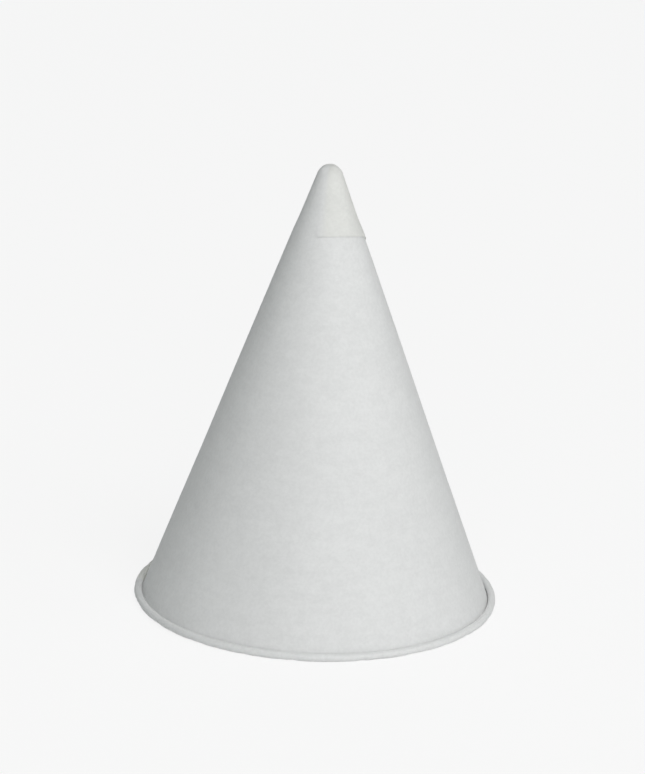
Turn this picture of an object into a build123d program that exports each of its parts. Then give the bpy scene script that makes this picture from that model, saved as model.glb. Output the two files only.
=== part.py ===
"""Cone paper cup with a rolled rim.

One sheet of paper is wound into a cone, lapped and glued along one side, and rolled
outwards at the mouth. It stands on its rim with the tip up.
Millimetres, +Z up. The origin is on the table, under the tip.
"""

import os
from math import acos, asin, atan, atan2, cos, degrees, radians, sin

from build123d import *

# Driving dimensions
rim_diameter = 72.0  # over the rolled rim
cup_height = 92.0  # from the table to the top of the tip
sheet_thickness = 0.22
tip_radius = 2.7  # outside of the rounded tip
tip_flat = 0.7  # radius of the blunt end of the tip
bead_height = 1.8  # outside of the rolled rim's section
curl_gap = 0.1  # air between two turns of the rolled rim
curl_tuck = 70.0  # degrees that the sheet's end is tucked in past one whole turn
lap_tuck = 90.0  # degrees that the flap follows the sheet into the rolled rim
lap_width = 12.2  # glued lap at the mouth, from the inner edge to the flap's free edge
flap_end = 19.1  # from the cone's point to the flap's free edge, where it is nearest
flap_corner = 3.1  # from that place to the corner of the flap's square end
lap_press = 0.9  # share of its thickness that the sheet keeps where it is glued
seam_bearing = 174.5  # degrees from +X to the inner edge, which is at the back
flat_angle = 33.0  # the rolled rim is drawn in flats that each turn by about this
edge_points = 9  # points that draw the flap's free edge in each half turn

# The section's middle line: a straight wall between the tip's arc and the rim's curl
half_sheet = sheet_thickness / 2
tip_mid = tip_radius - half_sheet
curl_mid = bead_height / 2 - half_sheet
blunt_height = tip_mid * sin(acos(tip_flat / tip_mid))
tip_centre = Vector(0, cup_height - half_sheet - blunt_height)
curl_centre = Vector((rim_diameter - bead_height) / 2, bead_height / 2)
span = curl_centre - tip_centre
half_angle = atan2(span.X, -span.Y) - asin((tip_mid + curl_mid) / span.length)
slope = degrees(half_angle)
across = Vector(cos(half_angle), sin(half_angle))  # square to the wall, outwards
turn_pitch = sheet_thickness + curl_gap
point_height = tip_centre.Y + tip_mid / sin(half_angle)  # where the walls would meet

# The winding: half circles about two centres, each further out by half a lap's step
lap_step = lap_press * sheet_thickness / cos(half_angle)
centres = (-lap_step / 2, 0.0)

# The flap's free edge is a straight line on the flat sheet
mouth_slant = (curl_centre - across * curl_mid).X / sin(half_angle)
foot_angle = asin(lap_width / mouth_slant) + acos(flap_end / mouth_slant)
corner_angle = foot_angle + atan(flap_corner / flap_end)
wrap = degrees(corner_angle / sin(half_angle))  # how far the flap winds past one turn
reach = rim_diameter + cup_height  # further out than any piece of the cup


def on_ring(centre, radius, angle):
    """A point at an angle round a centre, in degrees from outwards."""
    return centre + Vector(cos(radians(angle)), sin(radians(angle))) * radius


def flats(centre, radius, first, last):
    """The corners of flats that touch an arc from its first to its last angle."""
    count = max(1, round((last - first) / flat_angle))
    turn = (last - first) / count
    corner = radius / cos(radians(turn / 2))
    return [on_ring(centre, corner, first + turn * (i + 0.5)) for i in range(count)]


def lap_line(side):
    """The wall and the rim's outer half turn, at a distance outside the middle line."""
    wall_top = tip_centre + across * (tip_mid + side)
    radius = curl_mid - side
    wall_end = 180 + slope
    return [
        wall_top,
        *flats(curl_centre, radius, wall_end, 270),
        *flats(curl_centre, radius, 270, 360),
        *flats(curl_centre, radius, 360, 360 + slope),
        *flats(*inner_ring(side), slope, slope + lap_tuck),
    ]


def inner_ring(side):
    """Centre and radius of the rolled rim's inner half turn."""
    return curl_centre + across * turn_pitch / 2, curl_mid - side - turn_pitch / 2


def flap_line(side):
    """One side of the flap, from the wall's top to its end in the rim."""
    return lap_line(side) + [on_ring(*inner_ring(side), slope + lap_tuck)]


def rolled_line(side):
    """One side of the sheet, from the wall's top to its tucked end."""
    tuck = curl_centre, curl_mid - side - turn_pitch
    first = 180 + slope
    rest = flats(*inner_ring(side), slope + lap_tuck, first)
    rest += flats(*tuck, first, first + curl_tuck)
    return lap_line(side) + rest + [on_ring(*tuck, first + curl_tuck)]


def tip_line(side):
    """The blunt end and the arc of the tip, from the middle to the wall's top."""
    radius = tip_mid + side
    height = cup_height - half_sheet + side
    blunt = asin((height - tip_centre.Y) / radius)
    arc = CenterArc(tip_centre, radius, degrees(blunt), slope - degrees(blunt))
    return [Line((0, height), arc @ 0), arc]


def whole_section(shift):
    """The sheet's section in its first turn, moved outwards, closed at the tip."""
    outer = tip_line(half_sheet) + [Polyline(*rolled_line(half_sheet))]
    inner = tip_line(-half_sheet) + [Polyline(*rolled_line(-half_sheet))]
    ends = [Line(outer[0] @ 0, inner[0] @ 0), Line(outer[-1] @ 1, inner[-1] @ 1)]
    section = Pos(shift, 0) * make_face(outer + inner + ends)
    if shift:
        section += Pos(shift / 2, cup_height - half_sheet) * Rectangle(shift, sheet_thickness)
    return section


def flap_section(shift):
    """The sheet's section in the flap, moved outwards."""
    corners = flap_line(half_sheet) + flap_line(-half_sheet)[::-1]
    return Pos(shift, 0) * make_face(Polyline(*corners, close=True))


def half_turn(section, number, arc):
    """A section wound clockwise, seen from the tip, about one of the two centres."""
    centre = centres[number % 2]
    placed = Plane.XZ * Pos(centre, 0) * section
    placed = placed.rotate(Axis((centre, 0, 0), (0, 0, 1)), -180 * number)
    return revolve(placed, Axis((centre, 0, 0), (0, 0, -1)), arc)


def edge_angle(height):
    """The angle past the inner edge at which the free edge is at a height."""
    slant = (point_height - height) / cos(half_angle)
    return degrees((foot_angle - acos(flap_end / slant)) / sin(half_angle))


def edge_point(turned):
    """The flap's free edge, seen from the side, at an angle past the inner edge."""
    slant = flap_end / cos(foot_angle - radians(turned) * sin(half_angle))
    height = point_height - slant * cos(half_angle)
    return Vector(slant * sin(half_angle) * cos(radians(turned)), height)


def above_edge(first, last, side):
    """All that lies above the free edge between two angles, seen from the side."""
    step = (last - first) / (edge_points - 1)
    edge = [edge_point(first + step * i) for i in range(edge_points)]
    corners = [(-side, edge[-1].Y), (-side, reach), (side, reach), (side, edge[0].Y)]
    outline = Spline(edge) + Polyline(edge[-1], *corners, edge[0])
    return extrude(Plane.XZ * make_face(outline), reach, both=True)


def flap_half(number):
    """The flap in one half turn past the first turn."""
    start = 180 * (number - 2)
    arc = min(180, wrap - start)
    first = max(start, edge_angle(-bead_height))
    side = -reach if number % 2 else reach
    section = flap_section(lap_step / 2 * number)
    return half_turn(section, number, arc) & above_edge(first, start + arc, side)


def make_cup():
    """The whole sheet: one turn, and the flap that laps over its start."""
    turn = half_turn(whole_section(0), 0, 180)
    turn += half_turn(whole_section(lap_step / 2), 1, 180)
    number = 2
    while 180 * (number - 2) < wrap:
        turn += flap_half(number)
        number += 1
    return turn.rotate(Axis.Z, seam_bearing)


os.makedirs("parts", exist_ok=True)
cup = make_cup()
cup.label = "cone_cup"
export_step(cup, "parts/cone_cup.step")
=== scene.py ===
"""Cone paper cup standing mouth down on a pale floor. Metres, +Z up."""

import random
from math import acos, asin, atan, atan2, ceil, cos, degrees, exp, pi, radians, sin, tau

import bmesh
import bpy
from mathutils import Matrix, Vector, noise


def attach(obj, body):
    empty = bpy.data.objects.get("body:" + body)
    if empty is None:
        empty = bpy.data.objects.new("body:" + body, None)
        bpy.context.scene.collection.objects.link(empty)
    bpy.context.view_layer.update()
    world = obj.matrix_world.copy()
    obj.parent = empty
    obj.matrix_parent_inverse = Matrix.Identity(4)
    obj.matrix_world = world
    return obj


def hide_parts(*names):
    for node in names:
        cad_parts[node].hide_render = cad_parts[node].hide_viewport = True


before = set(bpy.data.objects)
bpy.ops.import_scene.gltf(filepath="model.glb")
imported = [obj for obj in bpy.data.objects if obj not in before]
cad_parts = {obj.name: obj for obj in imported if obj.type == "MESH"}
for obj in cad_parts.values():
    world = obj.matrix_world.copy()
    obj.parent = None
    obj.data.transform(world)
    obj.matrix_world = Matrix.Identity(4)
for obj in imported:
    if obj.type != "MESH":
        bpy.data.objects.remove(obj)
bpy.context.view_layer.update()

MM = 0.001
SEED = 11

# The sheet, in millimetres and degrees. The rim, the bead and the height are a little smaller
# than the part's, so that the unevenness stays in its box, and FLAP_END is 0.2 less than there.
RIM_DIAMETER = 71.85  # over the rolled rim
CUP_HEIGHT = 91.92
THICKNESS = 0.22
TIP_RADIUS = 2.7  # outside of the rounded tip
TIP_FLAT = 0.7  # radius of the blunt end of the tip
BEAD_HEIGHT = 1.78  # outside of the rolled rim's section
CURL_GAP = 0.1  # air between two turns of the rolled rim
CURL_TUCK = 70.0  # that the sheet's end is tucked in past one whole turn
LAP_WIDTH = 12.2  # at the mouth, from the inner edge to the flap's free edge
FLAP_END = 18.9  # from the cone's point to the flap's free edge, where it is nearest
FLAP_CORNER = 3.1  # from that place to the corner of the flap's square end
SEAM_BEARING = 174.5  # from +X to the sheet's inner edge
LAP_PRESS = 0.9  # share of its thickness that the sheet keeps where it is glued

# The mesh, in millimetres and degrees
COLUMNS = 360
FLAT_RINGS = (0.25, 0.5)  # radii of the rings on the tip's blunt end
FLAT_ALONG = 0.2  # share of the way down the tip at which they count, for each mm of radius
TIP_TURN = 6.0  # between rings round the tip
TIP_RING = 0.8  # between rings on the outer wall near the tip
WALL_RING = 1.8  # between rings on the rest of the outer wall
INNER_RING = 2.7  # between rings on the inner wall
BEAD_TURN = 7.5  # between rings on the rolled rim's outside
HOLLOW_TURN = 18.0  # between rings on its inside
TUCK_TURN = 14.0  # between rings on the tucked end
TWIST = 4.0  # most that the free edge moves round from ring to ring
STEEP_LEAN = 1.5  # radians from the free edge's top, past which TWIST sets no limit
JUMP = 8.0  # least change from one ring's start to the next that shifts their faces
LEVEL_TURN = 75.0  # about how far from the free edge's top one ring follows it
BEND_REACH = 7.0  # above and below, in which the other rings bend with that ring
BEND_END = 60.0  # past the flap's corner, in which they straighten
STEP_DROP = 0.01  # from the ring on the flap's edge to the ring under it
WELD = 0.002
SHARP_TURN = 40.0  # between two faces, above which their edge stays sharp

# The lap's step in the rolled rim, in degrees
BOTTOM = 270.0  # the bead's lowest place, measured round its section from outwards
BOTTOM_FADE = 45.0  # on each side of the bottom, in which the step grows on the bead's outside
HOLLOW_FADE = 60.0  # rolled, in which the step fades on its inside
STEP_END = 220.0  # rolled, past which there is no step

# Unevenness, in millimetres and degrees
FLAP_PRESS = 4.5  # above the free edge's level part, in which the flap's square end is pressed flat
EDGE_LIFT = 0.035  # by which the free edge stands off the sheet under it
EDGE_SOFT = 0.8  # from the free edge, over which it is lifted
LIFT_START = 200.0  # past the inner edge, before which nothing is lifted
# Number round the cup, size at the mouth, and a crest's bearing
WALL_LOBES = ((2, 0.10, 40.0), (3, 0.05, 100.0), (5, 0.03, 250.0), (9, 0.012, 20.0))
# Number round the tip, share of TIP_PUCKER, and phase
TIP_LOBES = ((5, 1.0, 40.0), (3, 0.6, 160.0))
TIP_PUCKER = 0.05
POLE_DROP = 0.03  # from the cup's height to the middle of the tip
DENT_COUNT = 26
DENT_RANGES = ((0, 360), (15, 100), (5, 14), (-0.09, 0.06))  # bearing, slant, width, size
FLUTE_COUNT = 14
FLUTE_RANGES = ((0, 360), (2.5, 7), (-0.05, 0.05))  # bearing, width, size
CREASE_COUNT = 90
CREASE_RANGES = ((0, 360), (0.8, 1.8), (0.1, 1.0))  # bearing, width, share of CREASE_DEPTH
CREASE_DEPTH = 0.09
CREASE_LEAN = 0.01  # round the rim, for each degree rolled
LOT_REACH = 3.0  # widths from its middle, past which a dent or crease is left out
BEAD_SWELL = 0.03  # about the most that the bead's radius swells
SWELL_RADIUS = 9.0  # of the rim in the swells' noise
SWELL_ROLL = 150.0  # rolled for each 1 of that noise
BEAD_START = 50.0  # rolled, in which the swells and creases begin
BEAD_STOP = 250.0  # rolled, from which there are none


def smooth(x):
    """A soft step from 0 to 1, as x goes from 0 to 1."""
    x = min(1.0, max(0.0, x))
    return x * x * (3 - 2 * x)


def steps(first, last, size):
    """Equal steps from the first number to the last, none larger than a size."""
    count = max(1, ceil(abs(last - first) / size))
    return [first + (last - first) * i / count for i in range(count + 1)]


# The section's middle line: a straight wall between the tip's arc and the rim's curl
half = THICKNESS / 2
tip_mid = TIP_RADIUS - half
curl_mid = BEAD_HEIGHT / 2 - half
blunt = acos(TIP_FLAT / tip_mid)
tip_centre = Vector((0, CUP_HEIGHT - half - tip_mid * sin(blunt)))
curl_centre = Vector(((RIM_DIAMETER - BEAD_HEIGHT) / 2, BEAD_HEIGHT / 2))
span = curl_centre - tip_centre
half_angle = atan2(span.x, -span.y) - asin((tip_mid + curl_mid) / span.length)
slope = degrees(half_angle)
across = Vector((cos(half_angle), sin(half_angle)))  # square to the wall, outwards
turn_pitch = THICKNESS + CURL_GAP
lap_step = LAP_PRESS * THICKNESS / cos(half_angle)
point_height = tip_centre.y + tip_mid / sin(half_angle)  # where the walls would meet
wall_top = tip_centre + across * tip_mid
wall_end = curl_centre - across * curl_mid
top_slant = wall_top.x / sin(half_angle)
mouth_slant = wall_end.x / sin(half_angle)

# The winding past the first turn: angles on the flat sheet in radians, and on the cone in degrees
foot_angle = asin(LAP_WIDTH / mouth_slant) + acos(FLAP_END / mouth_slant)  # to the edge's top
corner_lean = atan(FLAP_CORNER / FLAP_END)  # from there to the flap's corner
foot_turn = degrees(foot_angle / sin(half_angle))
wrap = degrees((foot_angle + corner_lean) / sin(half_angle))
corner_turn = wrap - foot_turn

# The ring that follows the free edge near its top
level_start = wrap - round((corner_turn + LEVEL_TURN) * COLUMNS / 360) * 360 / COLUMNS
level_lean = radians(foot_turn - level_start) * sin(half_angle)
level_slant = FLAP_END / cos(level_lean)


def edge_turn(slant):
    """Degrees past the inner edge at which the free edge is, at a distance from the cone's point."""
    return degrees((foot_angle - acos(min(1.0, FLAP_END / slant))) / sin(half_angle))


class Ring:
    """One ring of the cup's skin.

    kind is tip, wall or curl. side is -1 on the sheet's inside and 1 on its outside. place is on
    the section, and slant is the distance from the cone's point along the sheet. start is where
    the ring begins, in degrees past the inner edge, and fade is the share of the lap's step that
    it keeps. along is the share of the way down the tip, or the degrees rolled in the curl.
    """

    def __init__(self, kind, side, place, normal, slant, start, fade, along=0.0):
        self.kind = kind
        self.side = side
        self.place = place + normal * half * side
        self.normal = normal
        self.slant = slant
        self.start = start
        self.fade = fade
        self.along = along


def tip_rings(side):
    """From the middle of the tip to the wall, without the pole itself."""
    start = 0.0 if side < 0 else wrap
    rings = []
    for x in FLAT_RINGS:
        place = Vector((x, CUP_HEIGHT - half))
        rings.append(Ring("tip", side, place, Vector((0, 1)), x, start, 0.0, FLAT_ALONG * x))
    for angle in steps(blunt, half_angle, radians(TIP_TURN))[:-1]:
        normal = Vector((cos(angle), sin(angle)))
        place = tip_centre + normal * tip_mid
        slant = place.x / sin(half_angle)
        along = (blunt - angle) / (blunt - half_angle)
        rings.append(Ring("tip", side, place, normal, slant, start, 0.0, along))
    return rings


def inner_levels():
    """Distances from the cone's point on the wall's inside, where all rings start alike."""
    return [(slant, 0.0) for slant in steps(top_slant, mouth_slant, INNER_RING)]


def outer_levels():
    """Distances from the cone's point on the wall's outside, and where the rings start there."""
    levels = [(slant, wrap) for slant in steps(top_slant, level_slant, TIP_RING)]
    slant = level_slant + STEP_DROP
    levels.append((slant, level_start))
    lean = level_lean
    while slant < mouth_slant:
        lean += radians(TWIST) * sin(half_angle)
        by_twist = FLAP_END / cos(lean) if lean < STEEP_LEAN else mouth_slant
        slant = min(by_twist, slant + WALL_RING, mouth_slant)
        lean = acos(FLAP_END / slant)
        levels.append((slant, edge_turn(slant)))
    return levels


def wall_rings(side):
    """One side of the wall, from the tip to the rolled rim."""
    rings = []
    for slant, start in inner_levels() if side < 0 else outer_levels():
        place = wall_top.lerp(wall_end, (slant - top_slant) / (mouth_slant - top_slant))
        fade = smooth((slant - level_slant) / FLAP_PRESS + 1)
        rings.append(Ring("wall", side, place, across, slant, start, fade))
    return rings


def curl_fade(side, angle, rolled):
    """Share of the lap's step that is left along the rolled rim.

    On the bead's outside, the inner edge's step ends at the bottom, and the free edge's begins.
    """
    if rolled > STEP_END:
        return 0.0
    if side < 0:
        return smooth(abs(angle - BOTTOM) / BOTTOM_FADE)
    return smooth(1 - rolled / HOLLOW_FADE)


def curl_rings(side):
    """The rolled rim, from the wall to the sheet's tucked end."""
    fine = BEAD_TURN if side < 0 else HOLLOW_TURN
    inner = curl_centre + across * turn_pitch / 2
    # Two half turns and the tuck: centre, radius, first angle, sweep and spacing of the rings
    stages = (
        (curl_centre, curl_mid, 180 + slope, 180.0, fine),
        (inner, curl_mid - turn_pitch / 2, 360 + slope, 180.0, fine),
        (curl_centre, curl_mid - turn_pitch, 540 + slope, CURL_TUCK, TUCK_TURN),
    )
    rings = []
    slant = mouth_slant
    for centre, radius, first, sweep, size in stages:
        for angle in steps(first, first + sweep, size)[1:]:
            heading = Vector((cos(radians(angle)), sin(radians(angle))))
            rolled = angle - 180 - slope
            here = slant + radians(angle - first) * radius
            start = edge_turn(here) if side > 0 or angle > BOTTOM else 0.0
            fade = curl_fade(side, angle, rolled)
            place = centre + heading * radius
            rings.append(Ring("curl", side, place, -heading, here, start, fade, rolled))
        slant += radians(sweep) * radius
    return rings


rng = random.Random(SEED)


def draw_lots(count, ranges):
    """Random lots, each with one number from every range."""
    return [tuple(rng.uniform(*limits) for limits in ranges) for _ in range(count)]


dents = draw_lots(DENT_COUNT, DENT_RANGES)
flutes = draw_lots(FLUTE_COUNT, FLUTE_RANGES)
creases = draw_lots(CREASE_COUNT, CREASE_RANGES)


def apart(a, b):
    """Degrees from the second bearing to the first, from -180 to 180."""
    return (a - b + 180) % 360 - 180


def wall_bulge(bearing, slant):
    """How far the wall stands out from a true cone."""
    share = min(1.0, slant / mouth_slant)
    bulge = 0.0
    for lobes, size, at in WALL_LOBES:
        bulge += size * share * cos(radians(lobes * (bearing - at)))
    for at, width, size in flutes:
        bulge += size * share * exp(-(apart(bearing, at) / width) ** 2)
    for at, level, width, size in dents:
        sideways = radians(apart(bearing, at)) * level * sin(half_angle)
        if abs(sideways) < LOT_REACH * width:
            bulge += size * exp(-(sideways ** 2 + (slant - level) ** 2) / width ** 2)
    return bulge


rim_bulge = [wall_bulge(bearing, mouth_slant) for bearing in range(361)]


def at_rim(bearing):
    """How far the wall's end stands out from a true cone, between whole degrees too."""
    i = int(bearing)
    return rim_bulge[i] + (rim_bulge[i + 1] - rim_bulge[i]) * (bearing - i)


def tip_bulge(bearing, along):
    """How far the tip stands out from its arc: puckers that go over into the wall's bulge."""
    lobes = sum(size * cos(radians(count * bearing + at)) for count, size, at in TIP_LOBES)
    return TIP_PUCKER * lobes * sin(pi * along) ** 2 + wall_bulge(bearing, top_slant) * along


def bead_change(bearing, rolled):
    """Change of the rolled rim's radius: long swells and small creases."""
    if rolled >= BEAD_STOP:
        return 0.0
    place = Vector((cos(radians(bearing)), sin(radians(bearing)), 0)) * SWELL_RADIUS
    change = BEAD_SWELL * noise.noise(place + Vector((0, 0, rolled / SWELL_ROLL)))
    for at, width, size in creases:
        off = apart(bearing, at + CREASE_LEAN * rolled)
        if abs(off) < LOT_REACH * width:
            change -= CREASE_DEPTH * size * exp(-(off / width) ** 2)
    return change * smooth(rolled / BEAD_START)


def ring_bend(bearing, slant):
    """How far a point moves down the wall, so that a ring follows the free edge near its top."""
    right = apart(bearing, SEAM_BEARING - foot_turn)
    here = max(-corner_turn, min(foot_turn - level_start, right))
    bend = FLAP_END / cos(radians(here) * sin(half_angle)) - level_slant
    end = smooth(1 + (right + corner_turn) / BEND_END)
    return bend * end * smooth(1 - abs(slant - level_slant) / BEND_REACH)


def edge_lift(slant, turn):
    """How far the flap stands off near its free edge, which is straight on the flat sheet."""
    lean = foot_angle - radians(turn - 360) * sin(half_angle)
    from_edge = max(0.0, FLAP_END - slant * cos(lean))
    return EDGE_LIFT * exp(-from_edge / EDGE_SOFT) if turn > LIFT_START else 0.0


def skin_point(ring, share):
    """A point of the skin, at a share of the turn past the ring's start."""
    turn = ring.start + 360 * share
    bearing = (SEAM_BEARING - turn) % 360
    outwards = lap_step * (turn / 360 - 0.5) * ring.fade
    x, z = ring.place
    slant = ring.slant
    if ring.kind == "wall" and ring.side > 0:
        bend = ring_bend(bearing, slant)
        x += bend * sin(half_angle)
        z -= bend * cos(half_angle)
        slant += bend
        outwards += edge_lift(slant, turn)
    if ring.kind == "curl":
        out = at_rim(bearing)
        change = bead_change(bearing, ring.along)
        x += out * across.x - change * ring.normal.x
        z += out * across.y - change * ring.normal.y
    else:
        on_wall = ring.kind == "wall"
        out = wall_bulge(bearing, slant) if on_wall else tip_bulge(bearing, ring.along)
        x += out * ring.normal.x
        z += out * ring.normal.y
    x += outwards
    return x * cos(radians(bearing)), x * sin(radians(bearing)), z


def strip(first, second, shift):
    """Faces between two closed rings, of which the second starts some columns earlier."""
    faces = []
    for i in range(COLUMNS):
        j = (i + shift) % COLUMNS
        faces.append((first + i, first + i + 1, second + j + 1, second + j))
    if shift:
        faces.append((first + COLUMNS - shift, second + COLUMNS, second))
        faces.append((first + COLUMNS, first, second + shift))
    else:
        faces.append((first + COLUMNS, first, second, second + COLUMNS))
    return faces


def skin_faces(rings):
    """Fans round the two poles, and a strip between each ring and the next."""
    count = COLUMNS + 1
    pole = 1 + len(rings) * count
    last = pole - count
    faces = []
    for i in range(count):
        j = (i + 1) % count
        faces.append((0, 1 + i, 1 + j))
        faces.append((pole, last + j, last + i))
    for n, (ring, after) in enumerate(zip(rings, rings[1:])):
        change = ring.start - after.start
        shift = round(change * COLUMNS / 360) % COLUMNS if abs(change) > JUMP else 0
        faces += strip(1 + n * count, 1 + (n + 1) * count, shift)
    return faces


def skin():
    """The sheet's skin: up the inside, round the tucked end and back up the outside."""
    inside, outside = [tip_rings(side) + wall_rings(side) + curl_rings(side) for side in (-1, 1)]
    rings = inside + outside[::-1]
    verts = [(0, 0, CUP_HEIGHT - THICKNESS)]
    for ring in rings:
        verts += [skin_point(ring, i / COLUMNS) for i in range(COLUMNS + 1)]
    verts.append((0, 0, CUP_HEIGHT - POLE_DROP))
    low = min(z for _, _, z in verts)
    return [Vector((x, y, z - low)) * MM for x, y, z in verts], skin_faces(rings)


def weld(mesh):
    """Joins what meets, turns all faces outwards and keeps the sheet's edges sharp."""
    shell = bmesh.new()
    shell.from_mesh(mesh)
    bmesh.ops.remove_doubles(shell, verts=shell.verts, dist=WELD * MM)
    bmesh.ops.dissolve_degenerate(shell, edges=shell.edges, dist=WELD * MM / 2)
    bmesh.ops.recalc_face_normals(shell, faces=shell.faces)
    for face in shell.faces:
        face.smooth = True
    shell.to_mesh(mesh)
    shell.free()
    mesh.set_sharp_from_angle(angle=radians(SHARP_TURN))


mesh = bpy.data.meshes.new("cup_sheet")
verts, faces = skin()
mesh.from_pydata(verts, [], faces)
weld(mesh)
cup = bpy.data.objects.new("cup_sheet", mesh)
bpy.context.collection.objects.link(cup)
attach(cup, "root")
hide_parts("cone_cup")

# The paper's tones, the painted shadow along the free edge and the mottles, with lengths in
# millimetres
SINGLE_TONE = (0.7945, 0.7955, 0.795)  # where the sheet is one layer
DOUBLE_TONE = (0.788, 0.787, 0.764)  # where the flap lies on it
TONE_STEP = 0.05  # on each side of the free edge, in which one tone turns into the other
EDGE_SHADOW = 0.95  # of the tone, kept on the painted shadow along the free edge
SHADOW_PLACE = 0.15  # past the free edge, on the sheet under it, at the middle of that painted shadow
SHADOW_REACH = 0.25  # from its middle to its ends
SOFT_END = 0.12  # radians of the flat sheet over which the flap's square end shades off
# Cycles per metre, times finer upright, and depth
MOTTLES = ((70.0, 1, 0.008), (420.0, 1, 0.016), (130.0, 5, 0.014), (1500.0, 1, 0.028))
MOTTLE_NOISE = {"Detail": 3.0, "Roughness": 0.6}
MOTTLE_LIMITS = (0.25, 0.75)  # of the noise, between which a mottle goes from dark to light

# The paper's surface
SPECULAR = 0.3
FIBRE_SCALE = 1500.0
FIBRE_NOISE = {"Detail": 4.0, "Roughness": 0.65, "Distortion": 1.4}
FIBRE_LIMITS = (0.2, 0.8)  # of the noise, between which the roughness changes
ROUGHNESS = (0.66, 0.86)
CLOUD_SCALE = 420.0
CLOUD_NOISE = {"Detail": 3.0}
CLOUD_HEIGHT = 1.5  # for each 1 of the fibres' height
BUMP_STRENGTH = 0.4
BUMP_HEIGHT = 0.03 * MM  # for each 1 of the relief


def node(tree, kind, **values):
    """A new node. Each value is an input's, or else a property's."""
    made = tree.nodes.new(kind)
    for name, value in values.items():
        if name in made.inputs:
            made.inputs[name].default_value = value
        else:
            setattr(made, name, value)
    return made


def calculate(tree, operation, *inputs):
    """A Math node's output. An input is a number or another node's output."""
    made = node(tree, "ShaderNodeMath", operation=operation)
    for socket, value in zip(made.inputs, inputs):
        if isinstance(value, (int, float)):
            socket.default_value = value
        else:
            tree.links.new(value, socket)
    return made.outputs["Value"]


def map_range(tree, value, limits, result):
    """A soft step from the first result to the second, between two limits of the value."""
    made = node(tree, "ShaderNodeMapRange", interpolation_type="SMOOTHSTEP")
    made.inputs["From Min"].default_value, made.inputs["From Max"].default_value = limits
    made.inputs["To Min"].default_value, made.inputs["To Max"].default_value = result
    tree.links.new(value, made.inputs["Value"])
    return made.outputs["Result"]


def blend(tree, factor, first, second):
    """A colour between the first, at factor 0, and the second, at factor 1."""
    made = node(tree, "ShaderNodeMix", data_type="RGBA")
    for name, value in (("A", first), ("B", second)):
        made.inputs[name].default_value = (*value, 1)
    tree.links.new(factor, made.inputs["Factor"])
    return made.outputs["Result"]


def grain(tree, place, scale, upright=1, **values):
    """Noise of a scale in cycles per metre, and so many times finer upright."""
    mapping = node(tree, "ShaderNodeMapping", Scale=(1, 1, upright))
    tree.links.new(place, mapping.inputs["Vector"])
    made = node(tree, "ShaderNodeTexNoise", Scale=scale, **values)
    tree.links.new(mapping.outputs["Vector"], made.inputs["Vector"])
    return made.outputs["Fac"]


def outside_share(tree, place, normal):
    """1 on the cup's outside and 0 on its inside."""
    axes = node(tree, "ShaderNodeSeparateXYZ")
    tree.links.new(normal, axes.inputs[0])
    flat = node(tree, "ShaderNodeCombineXYZ")
    tree.links.new(axes.outputs["X"], flat.inputs["X"])
    tree.links.new(axes.outputs["Y"], flat.inputs["Y"])
    outwards = node(tree, "ShaderNodeVectorMath", operation="DOT_PRODUCT")
    tree.links.new(flat.outputs[0], outwards.inputs[0])
    tree.links.new(place, outwards.inputs[1])
    return calculate(tree, "GREATER_THAN", outwards.outputs["Value"], 0.0)


def flap_distance(tree, place):
    """Millimetres to the free edge, above 0 on the flap, and how surely the flap reaches there."""
    axes = node(tree, "ShaderNodeSeparateXYZ")
    tree.links.new(place, axes.inputs[0])
    bearing = calculate(tree, "ARCTAN2", axes.outputs["Y"], axes.outputs["X"])
    turned = calculate(tree, "SUBTRACT", radians(SEAM_BEARING), bearing)
    turned = calculate(tree, "WRAP", turned, tau, 0.0)
    lean = calculate(tree, "MULTIPLY_ADD", turned, -sin(half_angle), foot_angle)
    point = (point_height + half * sin(half_angle)) / cos(half_angle)
    slant = calculate(tree, "MULTIPLY_ADD", axes.outputs["Z"], -1 / (MM * cos(half_angle)), point)
    reach = calculate(tree, "MULTIPLY", slant, calculate(tree, "COSINE", lean))
    sure = map_range(tree, lean, (-corner_lean, -corner_lean + SOFT_END), (0, 1))
    return calculate(tree, "SUBTRACT", FLAP_END, reach), sure


def paper_tone(tree, from_edge, flap):
    """The tone of one layer, or of two where the flap lies on the sheet."""
    doubled = map_range(tree, from_edge, (-TONE_STEP, TONE_STEP), (0, 1))
    return blend(tree, calculate(tree, "MULTIPLY", doubled, flap), SINGLE_TONE, DOUBLE_TONE)


def painted_shadow_and_mottles(tree, place, from_edge, seen):
    """Share of the tone that is left: a painted shadow on the sheet just past the free edge where it
    is seen, and mottles.
    """
    # Painted shadow: darker on the sheet just past the flap's free edge, on the cup's outside only
    off_shadow = calculate(tree, "ABSOLUTE", calculate(tree, "ADD", from_edge, SHADOW_PLACE))
    painted_shadow = map_range(tree, off_shadow, (0.0, SHADOW_REACH), (EDGE_SHADOW, 1.0))
    shade = calculate(tree, "MAXIMUM", painted_shadow, calculate(tree, "SUBTRACT", 1.0, seen))
    for scale, upright, depth in MOTTLES:
        part = grain(tree, place, scale, upright, **MOTTLE_NOISE)
        part = map_range(tree, part, MOTTLE_LIMITS, (1 - depth, 1 + depth))
        shade = calculate(tree, "MULTIPLY", shade, part)
    return shade


def paper_surface(tree, place, shader):
    """Roughness and fine relief of the paper's fibres."""
    fibre = grain(tree, place, FIBRE_SCALE, **FIBRE_NOISE)
    cloud = grain(tree, place, CLOUD_SCALE, **CLOUD_NOISE)
    tree.links.new(map_range(tree, fibre, FIBRE_LIMITS, ROUGHNESS), shader.inputs["Roughness"])
    relief = calculate(tree, "MULTIPLY_ADD", cloud, CLOUD_HEIGHT, fibre)
    bump = node(tree, "ShaderNodeBump", Strength=BUMP_STRENGTH, Distance=BUMP_HEIGHT)
    tree.links.new(relief, bump.inputs["Height"])
    tree.links.new(bump.outputs["Normal"], shader.inputs["Normal"])


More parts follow.
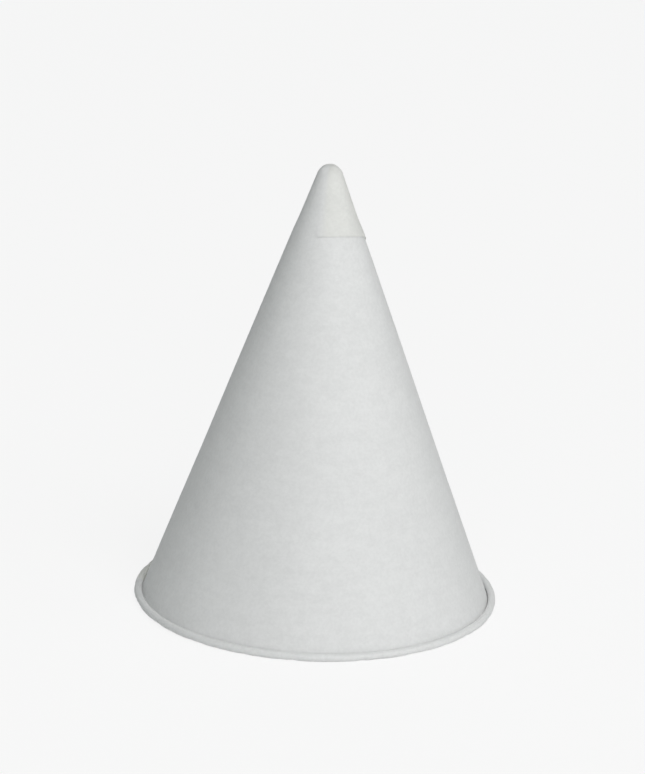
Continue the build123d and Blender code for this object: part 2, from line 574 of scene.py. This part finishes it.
def paper_material():
    """White uncoated paper, a little warmer where two layers lie, with a painted shadow along the
    flap's free edge.
    """
    material = bpy.data.materials.new("paper")
    material.use_nodes = True
    tree = material.node_tree
    shader = tree.nodes["Principled BSDF"]
    shader.inputs["Specular IOR Level"].default_value = SPECULAR
    coordinates = node(tree, "ShaderNodeTexCoord").outputs
    place = coordinates["Object"]
    from_edge, flap = flap_distance(tree, place)
    # Where the painted shadow along the free edge shows: where the flap reaches, on the cup's
    # outside
    seen = calculate(tree, "MULTIPLY", flap, outside_share(tree, place, coordinates["Normal"]))
    colour = node(tree, "ShaderNodeVectorMath", operation="SCALE")
    tree.links.new(paper_tone(tree, from_edge, flap), colour.inputs[0])
    tree.links.new(painted_shadow_and_mottles(tree, place, from_edge, seen), colour.inputs["Scale"])
    tree.links.new(colour.outputs["Vector"], shader.inputs["Base Color"])
    paper_surface(tree, place, shader)
    return material


cup.data.materials.append(paper_material())

# Floor and world, in metres
FLOOR_SIZE = 6.0
FLOOR_COLOUR = (0.9, 0.9, 0.9, 1)
WHITE = (1, 1, 1, 1)
WHITE_SHARE = 0.84  # of the floor as it is seen; the rest is lit, and holds the cup's shadow
AMBIENT = (0.92, 1.0, 0.98, 1)
AMBIENT_STRENGTH = 0.18
BACKDROP_STRENGTH = 0.95


def seen_share(tree, share):
    """A share where the background is seen, directly, in a gloss or through, and 0 elsewhere."""
    path = node(tree, "ShaderNodeLightPath").outputs
    seen = calculate(tree, "MAXIMUM", path["Is Camera Ray"], path["Is Glossy Ray"])
    seen = calculate(tree, "MAXIMUM", seen, path["Is Transmission Ray"])
    return calculate(tree, "MULTIPLY", seen, share)


def mix_shaders(tree, factor, first, second, out):
    """Puts out the first shader at factor 0 and the second at factor 1."""
    mix = node(tree, "ShaderNodeMixShader")
    tree.links.new(factor, mix.inputs[0])
    tree.links.new(first.outputs[0], mix.inputs[1])
    tree.links.new(second.outputs[0], mix.inputs[2])
    tree.links.new(mix.outputs[0], out.inputs[0])


def floor_material():
    """A pale floor that the lamps light, and that is seen as mostly white."""
    material = bpy.data.materials.new("floor")
    material.use_nodes = True
    tree = material.node_tree
    tree.nodes.clear()
    out = node(tree, "ShaderNodeOutputMaterial")
    lit = node(tree, "ShaderNodeBsdfDiffuse", Color=FLOOR_COLOUR)
    white = node(tree, "ShaderNodeEmission", Color=WHITE, Strength=1.0)
    mix_shaders(tree, seen_share(tree, WHITE_SHARE), lit, white, out)
    return material


def studio_world():
    """A dim, slightly cool light from all round, in front of a white backdrop."""
    world = bpy.data.worlds.new("studio")
    world.use_nodes = True
    tree = world.node_tree
    tree.nodes.clear()
    out = node(tree, "ShaderNodeOutputWorld")
    ambient = node(tree, "ShaderNodeBackground", Color=AMBIENT, Strength=AMBIENT_STRENGTH)
    backdrop = node(tree, "ShaderNodeBackground", Color=WHITE, Strength=BACKDROP_STRENGTH)
    mix_shaders(tree, seen_share(tree, 1.0), ambient, backdrop, out)
    return world


bpy.ops.mesh.primitive_plane_add(size=FLOOR_SIZE)
floor = bpy.context.object
floor.name = "floor"
floor.data.materials.append(floor_material())
bpy.context.scene.world = studio_world()

# Lamps: name, degrees to the right of the camera, degrees up, metres across, watts and colour
AIM = Vector((0, 0, 0.045))
LAMP_DISTANCE = 1.6
LAMPS = (
    ("key", 30, 50, 0.9, 9.7, (1.0, 0.998, 0.992)),
    ("front", 0, 15, 0.9, 5.9, (1.0, 1.0, 1.0)),
    ("right", 72, 15, 0.9, 3.5, (1.0, 0.998, 0.996)),
    ("left", -100, 20, 0.9, 0.7, (0.94, 1.0, 0.98)),
    ("back", 180, 35, 1.0, 2.4, (1.0, 1.0, 1.0)),
    ("top", 0, 85, 1.2, 1.3, (1.0, 1.0, 1.0)),
)


def lamp(name, bearing, height, size, power, colour):
    """A square soft box that looks at the cup."""
    data = bpy.data.lights.new(name, "AREA")
    data.size = size
    data.energy = power
    data.color = colour
    box = bpy.data.objects.new(name, data)
    bpy.context.collection.objects.link(box)
    a, e = radians(bearing), radians(height)
    way = Vector((sin(a) * cos(e), -cos(a) * cos(e), sin(e)))
    box.location = AIM + way * LAMP_DISTANCE
    box.rotation_euler = way.to_track_quat("Z", "Y").to_euler()


for values in LAMPS:
    lamp(*values)

# Camera, in metres and degrees, on the photograph's angle and lean
CAMERA_DISTANCE = 5.0
CAMERA_PITCH = 20.5
CAMERA_ROLL = 2.06
LENS = 1170.0
CLIP_END = 20.0

pitch = radians(CAMERA_PITCH)
tilt = Matrix.Rotation(pi / 2 - pitch, 4, "X") @ Matrix.Rotation(radians(CAMERA_ROLL), 4, "Z")
camera = bpy.data.objects.new("camera", bpy.data.cameras.new("camera"))
bpy.context.collection.objects.link(camera)
camera.data.lens = LENS
camera.data.clip_end = CLIP_END
camera.location = AIM + Vector((0, -cos(pitch), sin(pitch))) * CAMERA_DISTANCE
camera.rotation_euler = tilt.to_euler()
bpy.context.scene.camera = camera
bpy.context.scene.view_settings.view_transform = "Standard"
